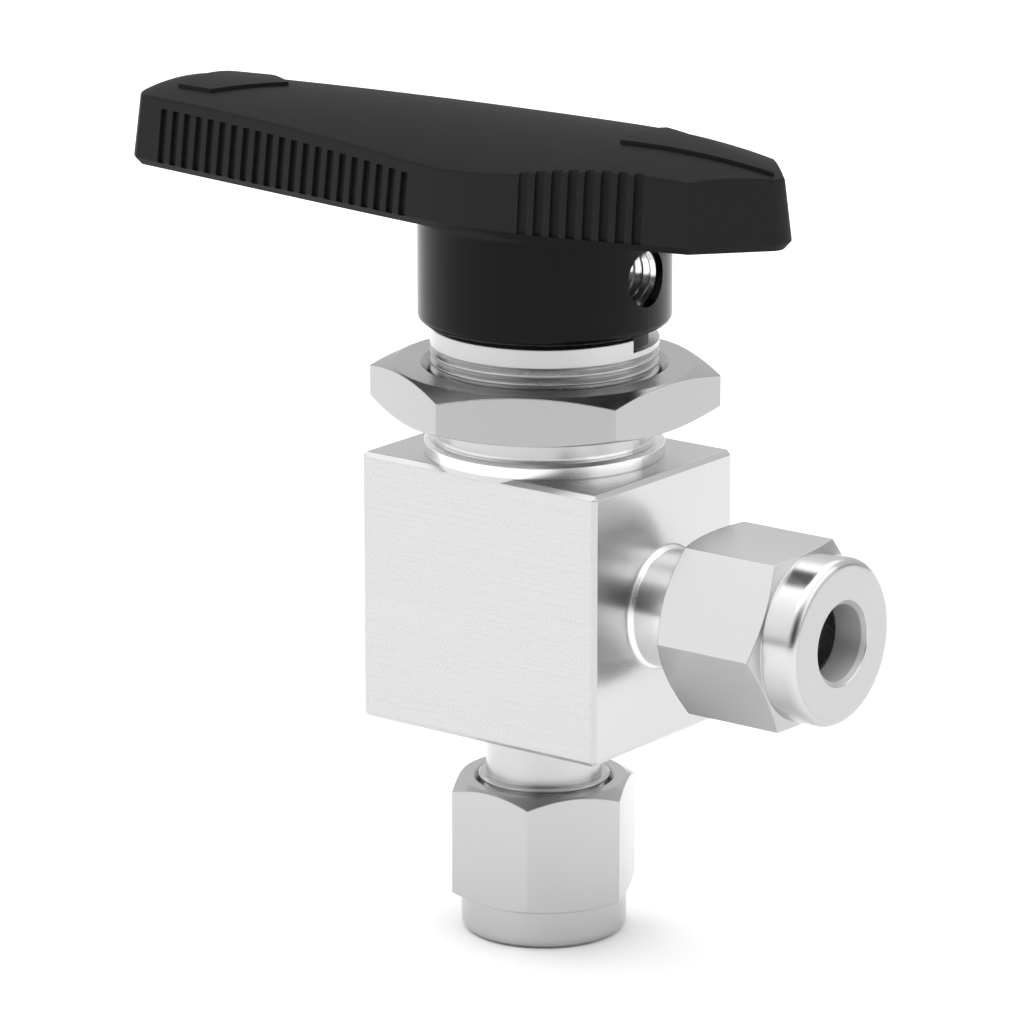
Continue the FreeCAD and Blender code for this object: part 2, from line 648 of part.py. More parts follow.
def make_packing_bolt():
    body = new_body("packing_bolt")
    crest = "(bolt_bore - bolt_thread_gap)"
    turns = whole_pitches(f"{BOLT_HEAD_FOOT} - {BOLT_THREAD_FOOT}", "bolt_pitch")
    seat = "(stem_radius + running_gap + 2 * wire_radius + running_gap)"
    revolve(body, "bolt_turned", [
        ("bolt_bore_radius", BOLT_FOOT),
        ("bolt_nose_radius", BOLT_FOOT),
        ("bolt_nose_radius", BOLT_THREAD_FOOT),
        (crest, BOLT_THREAD_FOOT),
        *teeth(crest, "bolt_thread_depth", BOLT_THREAD_FOOT, "bolt_pitch", turns),
        (crest, BOLT_HEAD_FOOT),
        ("bolt_flats / 2 - 0.3", BOLT_HEAD_FOOT),
        ("bolt_flats / 2 - 0.3", BOLT_TOP),
        (seat, BOLT_TOP),
        (seat, SPRING_SEAT),
        ("bolt_bore_radius", SPRING_SEAT),
    ])
    head = new_sketch(body, "head_plan", "XY_Plane", height=BOLT_HEAD_FOOT)
    outline(head, hexagon("bolt_flats", "0"))
    circle(head, "bolt_flats / 2 - 1")
    prism(body, "hexagon_head", head, "bolt_head_rise + bolt_head_drop")


def make_grounding_spring():
    body = new_body("grounding_spring")
    ring = "(stem_radius + running_gap + wire_radius)"
    sketch = new_sketch(body, "wire_section", "XZ_Plane")
    circle(sketch, "wire_radius", x=ring, y=f"{SPRING_SEAT} + wire_radius + seat_gap")
    feature = body.newObject("PartDesign::Revolution", "wire")
    feature.Profile = sketch
    feature.ReferenceAxis = (sketch, ["V_Axis"])
    bind(feature, "Angle", "wire_open_angle")
    settle(body, feature)


def chamfer_hexagon(body, name, face, flats, rise):
    """Turned chamfer on a hexagon's corners at one end face, rise high at the corners."""
    start = f"({flats} / 2 - hex_land)"
    corner = f"({flats} / 2 / cos(30))"
    far = f"({corner} + 1)"
    fall = f"({rise}) * ({far} - {start}) / ({corner} - {start})"
    revolve(body, name, [(start, face), (far, face), (far, f"{face} + {fall}")], cut=True)


def make_tube_nut(side):
    body = new_body(f"{side}_nut")
    band_foot = "(port_reach - band_length)"
    plan = new_sketch(body, f"{side}_hex_plan", "XY_Plane", height=NUT_BACK)
    outline(plan, hexagon("nut_flats", f"{side}_nut_turn"))
    prism(body, f"{side}_hexagon", plan, f"{band_foot} - {NUT_BACK}")
    chamfer_hexagon(body, f"{side}_back_chamfer", NUT_BACK, "nut_flats", "nut_back_rise")
    chamfer_hexagon(body, f"{side}_front_chamfer", band_foot, "nut_flats", "-nut_front_rise")
    revolve(body, f"{side}_band", [
        ("0", f"{band_foot} - 0.5"),
        ("band_radius", f"{band_foot} - 0.5"),
        ("band_radius", "port_reach - band_round", "band_round"),
        ("band_radius - band_round", "port_reach"),
        ("0", "port_reach"),
    ])
    bore = "(end_thread_radius + nut_bore_gap)"
    pocket_end = "(port_reach - nut_pocket_end)"
    throat_end = "(port_reach - nut_throat)"
    revolve(body, f"{side}_bore", [
        ("0", f"{NUT_BACK} - 1"),
        (f"{bore} + 0.35", f"{NUT_BACK} - 1"),
        (f"{bore} + 0.35", NUT_BACK),
        (bore, f"{NUT_BACK} + 0.35"),
        (bore, f"{pocket_end} - ({bore} - nut_pocket)"),
        ("nut_pocket", pocket_end),
        ("nut_pocket", f"{throat_end} - (nut_pocket - tube_bore)"),
        ("tube_bore", throat_end),
        ("tube_bore", "port_reach - mouth_chamfer"),
        ("tube_bore + mouth_chamfer", "port_reach"),
        ("tube_bore + mouth_chamfer", "port_reach + 1"),
        ("0", "port_reach + 1"),
    ], cut=True)
    face_port(body, side)


def make_ferrules(side):
    start = "(port_reach - back_start)"
    shoulder = f"({start} - back_flange)"
    slope = "(ferrule_radius - tube_bore - 0.15)"
    back = new_body(f"{side}_back_ferrule")
    revolve(back, f"{side}_back_turned", [
        ("tube_bore", start),
        ("tube_bore", f"{shoulder} - back_nose"),
        ("tube_bore + 0.2", f"{shoulder} - back_nose"),
        ("back_nose_radius", shoulder),
        ("ferrule_radius", shoulder),
        ("ferrule_radius", f"{start} - {slope}"),
        ("tube_bore + 0.15", start),
    ])
    face_port(back, side)
    front = new_body(f"{side}_front_ferrule")
    cone_start = f"({FRONT_BACK_FACE} - front_land)"
    recess = "(back_nose_radius + ferrule_gap)"
    revolve(front, f"{side}_front_turned", [
        (recess, FRONT_BACK_FACE),
        ("tube_bore + 0.2 + ferrule_gap", f"{FRONT_BACK_FACE} - back_nose"),
        ("tube_bore", f"{FRONT_BACK_FACE} - back_nose - 0.1"),
        ("tube_bore", f"{cone_start} - front_cone"),
        ("front_tip", f"{cone_start} - front_cone"),
        ("ferrule_radius", cone_start),
        ("ferrule_radius", FRONT_BACK_FACE),
    ])
    face_port(front, side)


def make_panel_nut():
    body = new_body("panel_nut")
    foot = "(block_rise + panel_height)"
    top = f"({foot} + panel_thickness)"
    plan = new_sketch(body, "panel_plan", "XY_Plane", height=foot)
    outline(plan, hexagon("panel_flats", "30"))
    prism(body, "panel_hexagon", plan, "panel_thickness")
    chamfer_hexagon(body, "panel_foot_chamfer", foot, "panel_flats", "panel_chamfer_rise")
    chamfer_hexagon(body, "panel_top_chamfer", top, "panel_flats", "-panel_chamfer_rise")
    bore = "(neck_radius + panel_bore_gap)"
    wide = f"({bore} + panel_countersink)"
    revolve(body, "panel_bore", [
        ("0", f"{foot} - 1"), (wide, f"{foot} - 1"), (wide, foot),
        (bore, f"{foot} + panel_countersink"), (bore, f"{top} - panel_countersink"),
        (wide, top), (wide, f"{top} + 1"), ("0", f"{top} + 1"),
    ], cut=True)


def bar_corners():
    """Plan of the bar, from the long arm's far corner round to its near corner."""
    near = [
        ("-long_tip", "-long_tip_half"),
        ("-bulge_back", "-bulge_back_half", "bulge_radius"),
        ("bulge_front", "-bulge_front_half"),
        ("short_tip", "-short_tip_half"),
        ("point_start", "-point_half", "point_radius"),
    ]
    far = [
        ("point_start", "point_half"),
        ("short_tip", "short_tip_half"),
        ("bulge_front", "bulge_front_half", "bulge_radius"),
        ("-bulge_back", "bulge_back_half"),
        ("-long_tip", "long_tip_half", "long_end_radius"),
    ]
    return near + far


def crown_cut(lift):
    """Region above the crown, in the plane of the stem and the bar, lifted for the arrows."""
    top = f"({CROWN_TOP} + {lift})"
    ceiling = f"({CROWN_TOP} + bar_height)"
    return [
        ("crown_tip", f"{top} - crown_tip_drop", FRONT_DROOP),
        ("crown_front", f"{top} - crown_front_drop", "crown_main_radius"),
        ("-crown_back", f"{top} - crown_back_drop", REAR_DROOP),
        ("-crown_end", f"{top} - crown_end_drop"),
        ("-crown_end", ceiling),
        ("crown_tip", ceiling),
    ]


def cut_crown(body, name, lift):
    sketch = new_sketch(body, f"{name}_profile", "XZ_Plane")
    outline(sketch, crown_cut(lift))
    half = number("bar_height")
    ends = [FreeCAD.Vector(side * half, number(CROWN_AXIS), 0) for side in (-1, 1)]
    axis = sketch.addGeometry(Part.LineSegment(*ends), True)
    sketch.addConstraint(Sketcher.Constraint("Horizontal", axis))
    hold(sketch, "DistanceY", -1, 1, axis, 1, CROWN_AXIS)
    hold(sketch, "DistanceX", -1, 1, axis, 1, "-bar_height")
    hold(sketch, "DistanceX", axis, 1, axis, 2, "2 * bar_height")
    feature = body.newObject("PartDesign::Groove", name)
    feature.Profile = sketch
    feature.ReferenceAxis = (sketch, ["Axis0"])
    feature.Angle = 360
    settle(body, feature)
    return feature


def crown_height(distance, half):
    """Height of the crown's main arc at a distance along the bar and half a width across it."""
    span = number("crown_front + crown_back")
    fall = number("crown_back_drop - crown_front_drop")
    share = (number("crown_front") - distance) / span
    sagitta = span ** 2 * share * (1 - share) / (2 * number("crown_main_radius"))
    crest = number(f"{CROWN_TOP} - crown_front_drop") - fall * share + sagitta
    radius = crest - number(CROWN_AXIS)
    return number(CROWN_AXIS) + math.sqrt(max(radius ** 2 - half ** 2, 0))


def flank_frame(start, end):
    """Frame of a near flank: local X along the flank's foot, local Y up its draft."""
    foot = FreeCAD.Vector(number(start[0]), number(start[1]), number(BAR_FOOT))
    along = FreeCAD.Vector(number(end[0]), number(end[1]), number(BAR_FOOT)) - foot
    along.normalize()
    inward = FreeCAD.Vector(-along.y, along.x, 0)
    draft = math.radians(number("draft"))
    up = FreeCAD.Vector(0, 0, 1) * math.cos(draft) + inward * math.sin(draft)
    outward = along.cross(up)
    return FreeCAD.Placement(foot, FreeCAD.Rotation(along, up, outward, "ZXY"))


def cut_grooves(body, name, start, end, places, tops):
    """Grip grooves across a near flank; places and tops are measured in the flank's frame."""
    sketch = new_sketch(body, f"{name}_sketch", "XY_Plane", frame=flank_frame(start, end))
    for place, top in zip(places, tops):
        outline(sketch, [
            (f"{place} - groove_width / 2", "groove_lip"),
            (f"{place} + groove_width / 2", "groove_lip"),
            (f"{place} + groove_width / 2", top),
            (f"{place} - groove_width / 2", top),
        ])
    near = prism(body, name, sketch, "groove_depth", cut=True)
    mirror_across(body, f"{name}_far", [near], "XZ_Plane")


def make_handle():
    body = new_body("handle")
    plan = new_sketch(body, "bar_plan", "XY_Plane", height=BAR_FOOT)
    outline(plan, bar_corners())
    bar = prism(body, "bar", plan, "bar_height + 2", taper="-draft")
    foot = number(BAR_FOOT)
    close = 1e-4
    at_foot = edges_where(bar, lambda edge: abs(edge.BoundBox.ZMax - edge.BoundBox.ZMin) < close
                          and abs(edge.CenterOfMass.z - foot) < close)
    soften(body, "bar_foot_edges", "Chamfer", at_foot, "bar_chamfer")
    crown = cut_crown(body, "crown", "0")
    rim = edges_where(crown, is_crown_rim)
    soften(body, "crown_edges", "Fillet", rim, "bar_round")

    long_arm = [("-long_tip", "-long_tip_half"), ("-bulge_back", "-bulge_back_half")]
    slope = number("(bulge_back_half - long_tip_half) / (long_tip - bulge_back)")
    stretch = math.hypot(1, slope)
    places = []
    tops = []
    for step in range(int(VALUE["long_grooves"])):
        distance = f"(long_groove_start - {step} * long_groove_pitch)"
        places.append(f"(long_tip - {distance}) * {stretch:.6f}")
        half = number(f"long_tip_half + (long_tip - {distance}) * {slope:.6f}")
        edge = crown_height(-number(distance), half) - number(BAR_FOOT)
        tops.append(f"({edge:.4f} - groove_rim)")
    cut_grooves(body, "long_arm_grooves", *long_arm, places, tops)

    short_arm = [("bulge_front", "-bulge_front_half"), ("short_tip", "-short_tip_half")]
    slope = number("(bulge_front_half - short_tip_half) / (short_tip - bulge_front)")
    stretch = math.hypot(1, slope)
    places = [f"(short_groove_start + {step} * short_groove_pitch - bulge_front) * {stretch:.6f}"
              for step in range(int(VALUE["short_grooves"]))]
    cut_grooves(body, "short_arm_grooves", *short_arm, places, ["bar_height"] * len(places))

    add_arrows(body)
    add_hub(body)


def is_crown_rim(edge):
    """True for the edges between the crown and the flanks."""
    box = edge.BoundBox
    above_chamfer = number(f"{BAR_FOOT} + bar_chamfer * 1.5")
    half_way = number(f"{BAR_FOOT} + bar_height * 0.45")
    return box.ZMin > above_chamfer and box.ZMax > half_way


def add_arrows(body):
    arrows = new_sketch(body, "arrow_plan", "XY_Plane", height=f"{BAR_FOOT} + bar_height / 2")
    outline(arrows, [
        ("-rear_arrow_tail", "-rear_arrow_tail_half"),
        ("-rear_arrow_shoulder", "-rear_arrow_half"),
        ("-rear_arrow_tip", "0"),
        ("-rear_arrow_shoulder", "rear_arrow_half"),
        ("-rear_arrow_tail", "rear_arrow_tail_half"),
    ])
    outline(arrows, [
        ("front_arrow_tail", "-front_arrow_half"),
        ("front_arrow_tip", "0"),
        ("front_arrow_tail", "front_arrow_half"),
    ])
    prism(body, "arrows", arrows, "bar_height / 2 + arrow_rise + 0.5")
    cut_crown(body, "arrow_tops", "arrow_rise")


def add_hub(body):
    revolve(body, "skirt", [
        ("0", SKIRT_FOOT),
        ("skirt_radius - skirt_round", SKIRT_FOOT, "skirt_round"),
        ("skirt_radius", f"{SKIRT_FOOT} + skirt_round"),
        ("skirt_radius", f"{BAR_FOOT} + bar_chamfer"),
        ("0", f"{BAR_FOOT} + bar_chamfer"),
    ])
    revolve(body, "skirt_recess", [
        ("0", f"{SKIRT_FOOT} - 1"),
        ("skirt_bore", f"{SKIRT_FOOT} - 1"),
        ("skirt_bore", f"{SKIRT_FOOT} + skirt_depth"),
        ("0", f"{SKIRT_FOOT} + skirt_depth"),
    ], cut=True)
    hub = "(insert_hub + moulding_gap)"
    revolve(body, "insert_pocket", [
        ("0", SKIRT_FOOT),
        (hub, SKIRT_FOOT),
        (hub, f"{INSERT_TOP} + moulding_gap"),
        ("0", f"{INSERT_TOP} + moulding_gap"),
    ], cut=True)
    boss = new_sketch(body, "boss_section", "YZ_Plane")
    circle(boss, "insert_boss + moulding_gap", x="0", y=SCREW_AXIS)
    prism(body, "boss_pocket", boss, "insert_reach + moulding_gap", cut=True, back=True)
    hole = new_sketch(body, "hole_section", "YZ_Plane")
    circle(hole, "access_hole", x="0", y=SCREW_AXIS)
    prism(body, "screw_hole", hole, "skirt_radius + 1", cut=True, back=True)
    tab = new_sketch(body, "tab_plan", "XY_Plane", height=f"{SKIRT_FOOT} - tab_reach")
    turn = "(tab_start + tab_angle)"
    outline(tab, [
        ("tab_bore * cos(tab_start)", "tab_bore * sin(tab_start)"),
        ("tab_radius * cos(tab_start)", "tab_radius * sin(tab_start)", "tab_radius"),
        (f"tab_radius * cos{turn}", f"tab_radius * sin{turn}"),
        (f"tab_bore * cos{turn}", f"tab_bore * sin{turn}"),
    ])
    prism(body, "stop_tab", tab, "tab_reach + skirt_depth / 2")


def make_handle_insert():
    body = new_body("handle_insert")
    revolve(body, "insert_turned", [
        ("0", INSERT_FOOT), ("insert_hub", INSERT_FOOT), ("insert_hub", INSERT_TOP), ("0", INSERT_TOP),
    ])
    boss = new_sketch(body, "insert_boss_section", "YZ_Plane")
    circle(boss, "insert_boss", x="0", y=SCREW_AXIS)
    prism(body, "insert_boss", boss, "insert_reach")
    bore = new_sketch(body, "stem_way_plan", "XY_Plane", height=f"{INSERT_FOOT} - 1")
    wall = "(stem_radius + seat_gap)"
    flat = "(stem_flat + seat_gap)"
    cross = f"sqrt({wall} ^ 2 - {flat} ^ 2)"
    outline(bore, [(flat, f"-{cross}"), (flat, cross, wall), (f"-{wall}", "0", wall)])
    prism(body, "stem_way", bore, "insert_foot + insert_top + 2", cut=True, back=True)
    crest = "(screw_radius + running_gap)"
    turns = whole_pitches("insert_reach - stem_flat - 0.6", "screw_pitch")
    start = f"(insert_reach - 0.3 - {turns} * screw_pitch)"
    outward = "(0 - screw_thread_depth)"
    revolve(body, "screw_thread", along_port([
        ("0", "0"), (crest, "0"), *teeth(crest, outward, start, "screw_pitch", turns),
        (crest, "insert_reach - 0.3"), (f"{crest} + 0.3", "insert_reach"),
        (f"{crest} + 0.3", "insert_reach + 1"), ("0", "insert_reach + 1"),
    ], "H_Axis", ""), axis="H_Axis", cut=True, lift=SCREW_AXIS)


def make_set_screw():
    body = new_body("set_screw")
    tip = "(stem_flat + 2 * seat_gap)"
    head = f"({tip} + screw_length)"
    turns = whole_pitches("screw_length - screw_point - 0.4", "screw_pitch")
    revolve(body, "screw_turned", along_port([
        ("0", tip),
        ("screw_radius - screw_point", tip),
        ("screw_radius", f"{tip} + screw_point"),
        *teeth("screw_radius", "screw_thread_depth", f"({tip} + screw_point)", "screw_pitch", turns),
        ("screw_radius", f"{head} - 0.3"),
        ("screw_radius - 0.3", head),
        ("0", head),
    ], "H_Axis", ""), axis="H_Axis", lift=SCREW_AXIS)
    socket = new_sketch(body, "socket_section", "YZ_Plane", height=head, lift=SCREW_AXIS)
    outline(socket, hexagon("screw_socket", "0"))
    prism(body, "socket", socket, "screw_socket_depth", cut=True)


fill_sheet()
make_valve_body()
make_panel_nut()
make_ball_stem()
make_packing()
for port in ("side", "bottom"):
    make_seats(port)
    make_tube_nut(port)
    make_ferrules(port)
make_gland()
make_bushing()
make_disc_springs()
make_packing_bolt()
make_grounding_spring()
make_handle()
make_handle_insert()
make_set_screw()
doc.recompute()

for thing in doc.Objects:
    if {"Invalid", "Error"} & set(thing.State):
        raise RuntimeError(f"{thing.Name} did not recompute")

os.makedirs("parts", exist_ok=True)
for body in doc.findObjects("PartDesign::Body"):
    shape = body.Shape
    if shape.isNull() or not shape.isValid() or len(shape.Solids) != 1:
        raise RuntimeError(f"{body.Label} is not one valid solid")
    shape.exportStep(f"parts/{body.Label}.step")
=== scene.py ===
import math

import bpy
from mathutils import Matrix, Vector

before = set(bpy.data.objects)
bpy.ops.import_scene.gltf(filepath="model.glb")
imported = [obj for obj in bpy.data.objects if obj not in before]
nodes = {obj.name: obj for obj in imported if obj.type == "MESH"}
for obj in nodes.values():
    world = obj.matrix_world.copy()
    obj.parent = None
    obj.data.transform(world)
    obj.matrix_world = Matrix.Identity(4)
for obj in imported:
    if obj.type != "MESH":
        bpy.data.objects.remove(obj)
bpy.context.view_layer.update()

MM = 0.001
scene = bpy.context.scene

# Camera as fitted to the photograph: degrees, and millimetres from the object's axis.
CAMERA_AZIMUTH = 37.297
CAMERA_ELEVATION = 15.285
CAMERA_DISTANCE = 496.25
TARGET_HEIGHT = 36.229
TARGET_SIDE = -2.711
FOCAL_LENGTH = 208.95

# Azimuth and elevation of the studio's dark opening and of its brightest wall.
DARK_OPENING = (37, 12)
BRIGHT_WALL = (-110, 10)

# Axes of the turned pieces: a direction and a point on it.
BALL_HEIGHT = 30.2 * MM
STEM_AXIS = ((0, 0, 1), (0, 0, 0))
SIDE_AXIS = ((1, 0, 0), (0, 0, BALL_HEIGHT))

# Where the finish changes: fronts measured along X, heights along Z, the width over which it
# changes, and the bores' radius.
BLOCK_FRONT = 12.3 * MM
PORT_START = 12.5 * MM
BLOCK_LOW = 18.5 * MM
BLOCK_HIGH = 41.7 * MM
COLLAR_TOP = 43.2 * MM
BAR_FOOT = 61.6 * MM
BLEND = 0.2 * MM
BORE_RADIUS = 3.55 * MM

# Roughness of the bores' walls, and the size of the broken edges.
BORE_ROUGHNESS = 0.7
EDGE_RADIUS = 0.12 * MM
EDGE_SAMPLES = 6

# Grain of the steel, in cells per metre along X, Y and Z. Its noise stays mostly between two
# levels, and it darkens the steel to a share of its colour.
EVEN_GRAIN = (900, 900, 900)
TURNED_GRAIN = (2500, 2500, 2500)
BRUSHED_GRAIN = (60, 4000, 12000)
NOISE_LOW = 0.35
NOISE_HIGH = 0.65
GRAIN_SHADE = 0.94

# A face looks along an axis where this much of its normal does.
FACING_SHARE = 0.9

# Sockets of the mix node: both inputs and the output, for colours and for vectors.
COLOUR_SOCKETS = (6, 7, 2)
VECTOR_SOCKETS = (4, 5, 1)


def direction(azimuth, elevation):
    """Unit vector from the object towards a place round it; azimuth 0 is in front, at -Y."""
    turn = math.radians(azimuth)
    rise = math.radians(elevation)
    return Vector((math.sin(turn) * math.cos(rise), -math.cos(turn) * math.cos(rise), math.sin(rise)))


def make_camera():
    data = bpy.data.cameras.new("camera")
    data.lens = FOCAL_LENGTH
    data.clip_start = 0.01
    data.clip_end = 20
    camera = bpy.data.objects.new("camera", data)
    scene.collection.objects.link(camera)
    turn = math.radians(CAMERA_AZIMUTH)
    right = Vector((math.cos(turn), math.sin(turn), 0))
    target = Vector((0, 0, TARGET_HEIGHT * MM)) + right * TARGET_SIDE * MM
    back = direction(CAMERA_AZIMUTH, CAMERA_ELEVATION)
    camera.location = target + back * CAMERA_DISTANCE * MM
    camera.rotation_mode = "QUATERNION"
    camera.rotation_quaternion = (-back).to_track_quat("-Z", "Y")
    scene.camera = camera


def make_light(name, azimuth, elevation, size, power):
    """A soft box one metre away that looks at the object; its size is in metres, its power in watts."""
    data = bpy.data.lights.new(name, "AREA")
    data.shape = "RECTANGLE"
    data.size, data.size_y = size
    data.energy = power
    light = bpy.data.objects.new(name, data)
    scene.collection.objects.link(light)
    away = direction(azimuth, elevation)
    light.location = away
    light.rotation_mode = "QUATERNION"
    light.rotation_quaternion = away.to_track_quat("Z", "Y")


def make_floor():
    bpy.ops.mesh.primitive_circle_add(vertices=96, radius=4, fill_type="NGON", location=(0, 0, 0))
    floor = bpy.context.object
    floor.name = "floor"
    material = new_material("floor_paper")
    set_inputs(material, {"Base Color": (0.96, 0.96, 0.96, 1), "Roughness": 0.9, "Specular IOR Level": 0.1})
    floor.data.materials.append(material)


def make_world():
    """A bright room, lighter overhead and at one side, with a dark opening behind the camera."""
    world = bpy.data.worlds.new("studio")
    scene.world = world
    world.use_nodes = True
    sky = add_node(world, "ShaderNodeTexCoord").outputs["Generated"]
    background = world.node_tree.nodes["Background"]
    up = remap(world, parts_of(world, sky)["Z"], 0.75, 1.25)
    dim = remap(world, dot_with(world, sky, direction(*DARK_OPENING)), 0.0, 1.0, 0.95, 0.82)
    shade = maths(world, "MULTIPLY", up, remap(world, dim, 0.12, 1.0))
    side = remap(world, dot_with(world, sky, direction(*BRIGHT_WALL)), 0.75, 1.2, -1.0, 1.0)
    link(world, maths(world, "MULTIPLY", shade, side), background.inputs["Color"])
    background.inputs["Strength"].default_value = 0.8


def new_material(name):
    material = bpy.data.materials.new(name)
    material.use_nodes = True
    return material


def shader_of(material):
    return material.node_tree.nodes["Principled BSDF"]


def set_inputs(material, values):
    for name, value in values.items():
        shader_of(material).inputs[name].default_value = value


def add_node(material, kind, **settings):
    node = material.node_tree.nodes.new(kind)
    for name, value in settings.items():
        setattr(node, name, value)
    return node


def link(material, start, end):
    material.node_tree.links.new(start, end)


def vector_maths(material, operation, first, second=None):
    """Vector maths node; the second operand is a constant vector or another socket."""
    node = add_node(material, "ShaderNodeVectorMath", operation=operation)
    link(material, first, node.inputs[0])
    if isinstance(second, tuple):
        node.inputs[1].default_value = second
    elif second is not None:
        link(material, second, node.inputs[1])
    return node.outputs[0]


def dot_with(material, vector, constant):
    node = add_node(material, "ShaderNodeVectorMath", operation="DOT_PRODUCT")
    link(material, vector, node.inputs[0])
    node.inputs[1].default_value = constant
    return node.outputs["Value"]


def maths(material, operation, first, second):
    node = add_node(material, "ShaderNodeMath", operation=operation)
    for socket, value in zip(node.inputs, (first, second)):
        if isinstance(value, (int, float)):
            socket.default_value = value
        else:
            link(material, value, socket)
    return node.outputs[0]


def object_place(material):
    return add_node(material, "ShaderNodeTexCoord").outputs["Object"]


def stretched(material, factors):
    return vector_maths(material, "MULTIPLY", object_place(material), factors)


def parts_of(material, vector):
    node = add_node(material, "ShaderNodeSeparateXYZ")
    link(material, vector, node.inputs[0])
    return node.outputs


def noise(material, vector, scale, detail=2.0):
    node = add_node(material, "ShaderNodeTexNoise")
    node.inputs["Scale"].default_value = scale
    node.inputs["Detail"].default_value = detail
    link(material, vector, node.inputs["Vector"])
    return node.outputs["Fac"]


def remap(material, value, low, high, start=0.0, end=1.0):
    node = add_node(material, "ShaderNodeMapRange")
    node.inputs["From Min"].default_value = start
    node.inputs["From Max"].default_value = end
    node.inputs["To Min"].default_value = low
    node.inputs["To Max"].default_value = high
    link(material, value, node.inputs["Value"])
    return node.outputs["Result"]


def mix(material, kind, sockets, factor, low, high):
    """Value between low and high by a factor from 0 to 1; each is a socket or a constant."""
    node = add_node(material, "ShaderNodeMix", data_type=kind)
    for place, value in zip(sockets, (low, high)):
        if isinstance(value, tuple):
            node.inputs[place].default_value = value
        else:
            link(material, value, node.inputs[place])
    link(material, factor, node.inputs[0])
    return node.outputs[sockets[-1]]


def tint(material, factor, low, high):
    """Colour between low, a colour or a socket, and the colour high."""
    start = (*low, 1) if isinstance(low, tuple) else low
    return mix(material, "RGBA", COLOUR_SOCKETS, factor, start, (*high, 1))


def choose(material, factor, low, high):
    """Vector low where the factor is 0 and high where it is 1."""
    return mix(material, "VECTOR", VECTOR_SOCKETS, factor, low, high)


def grey(level):
    """Colour of steel, a trace bluer than a plain grey."""
    return (level, level, level + 0.005)


def soft_edges(material):
    """Lets sharp edges catch the light, as broken edges do."""
    node = add_node(material, "ShaderNodeBevel", samples=EDGE_SAMPLES)
    node.inputs["Radius"].default_value = EDGE_RADIUS
    link(material, node.outputs["Normal"], shader_of(material).inputs["Normal"])


def bump(material, height, distance, strength=1.0):
    node = add_node(material, "ShaderNodeBump")
    node.inputs["Distance"].default_value = distance
    node.inputs["Strength"].default_value = strength
    link(material, height, node.inputs["Height"])
    link(material, node.outputs["Normal"], shader_of(material).inputs["Normal"])


def out_from(material, axis):
    """Vector straight out from an axis."""
    along, centre = axis
    out = vector_maths(material, "SUBTRACT", object_place(material), centre)
    return vector_maths(material, "MULTIPLY", out, tuple(1.0 - share for share in along))


def turned_about(material, axis):
    """Direction across the tool marks of a piece turned about an axis: out from it and along it."""
    out = vector_maths(material, "NORMALIZE", out_from(material, axis))
    return vector_maths(material, "ADD", out, axis[0])


def finish(material, lines, colour, roughness, spread):
    """Colour and roughness of steel that vary with its grain, a factor from 0 to 1."""
    dark = tuple(channel * GRAIN_SHADE for channel in colour)
    link(material, tint(material, lines, dark, colour), shader_of(material).inputs["Base Color"])
    level = remap(material, lines, roughness - spread, roughness + spread, NOISE_LOW, NOISE_HIGH)
    link(material, level, shader_of(material).inputs["Roughness"])


def steel(name, colour, roughness, grain, spread, marks=0.0):
    """Steel with a fine grain; marks sets how far its tool marks stretch the highlights."""
    material = new_material(name)
    set_inputs(material, {"Metallic": 1.0, "Anisotropic": marks})
    lines = noise(material, stretched(material, grain), 1.0, detail=4.0)
    finish(material, lines, colour, roughness, spread)
    return material


def recolour(material, factor, colour):
    """Lead the base colour towards another one where the factor is 1."""
    socket = shader_of(material).inputs["Base Color"]
    link(material, tint(material, factor, socket.links[0].from_socket, colour), socket)


def normal_of(material):
    return parts_of(material, add_node(material, "ShaderNodeNewGeometry").outputs["Normal"])


def facing(material, axis):
    """1 on faces that look along an axis, up or down it."""
    share = maths(material, "ABSOLUTE", normal_of(material)[axis], 0.0)
    return maths(material, "GREATER_THAN", share, FACING_SHARE)


def turned_steel(name, colour, roughness, axis, marks=0.6):
    """Steel turned about an axis."""
    material = steel(name, colour, roughness, TURNED_GRAIN, 0.01, marks)
    link(material, turned_about(material, axis), shader_of(material).inputs["Tangent"])
    soft_edges(material)
    return material


def painted_shade_below(material, colour, low=-0.75, high=0.15):
    """Painted shade: a darker colour the more a face looks down, between two heights of its normal."""
    recolour(material, remap(material, normal_of(material)["Z"], 1.0, 0.0, low, high), colour)


def rough_bore(material, axis):
    """Rough wall in the bore along an axis."""
    node = add_node(material, "ShaderNodeVectorMath", operation="LENGTH")
    link(material, out_from(material, axis), node.inputs[0])
    within = maths(material, "LESS_THAN", node.outputs["Value"], BORE_RADIUS)
    socket = shader_of(material).inputs["Roughness"]
    kept = maths(material, "MULTIPLY", socket.links[0].from_socket,
                 maths(material, "SUBTRACT", 1.0, within))
    rough = maths(material, "MULTIPLY", within, BORE_ROUGHNESS)
    link(material, maths(material, "ADD", kept, rough), socket)


def side_nut_steel():
    """The side nut, with painted shade on its end faces and on faces that look down."""
    material = turned_steel("side_nut_steel", grey(0.6), 0.24, SIDE_AXIS)
    # Painted shade: a darker steel colour on faces that look down.
    painted_shade_below(material, grey(0.45))
    # Painted shade: a darker steel colour on the end faces, which look along X.
    recolour(material, facing(material, "X"), grey(0.45))
    rough_bore(material, SIDE_AXIS)
    return material


def bottom_nut_steel():
    material = turned_steel("bottom_nut_steel", grey(0.51), 0.26, STEM_AXIS)
    rough_bore(material, STEM_AXIS)
    return material


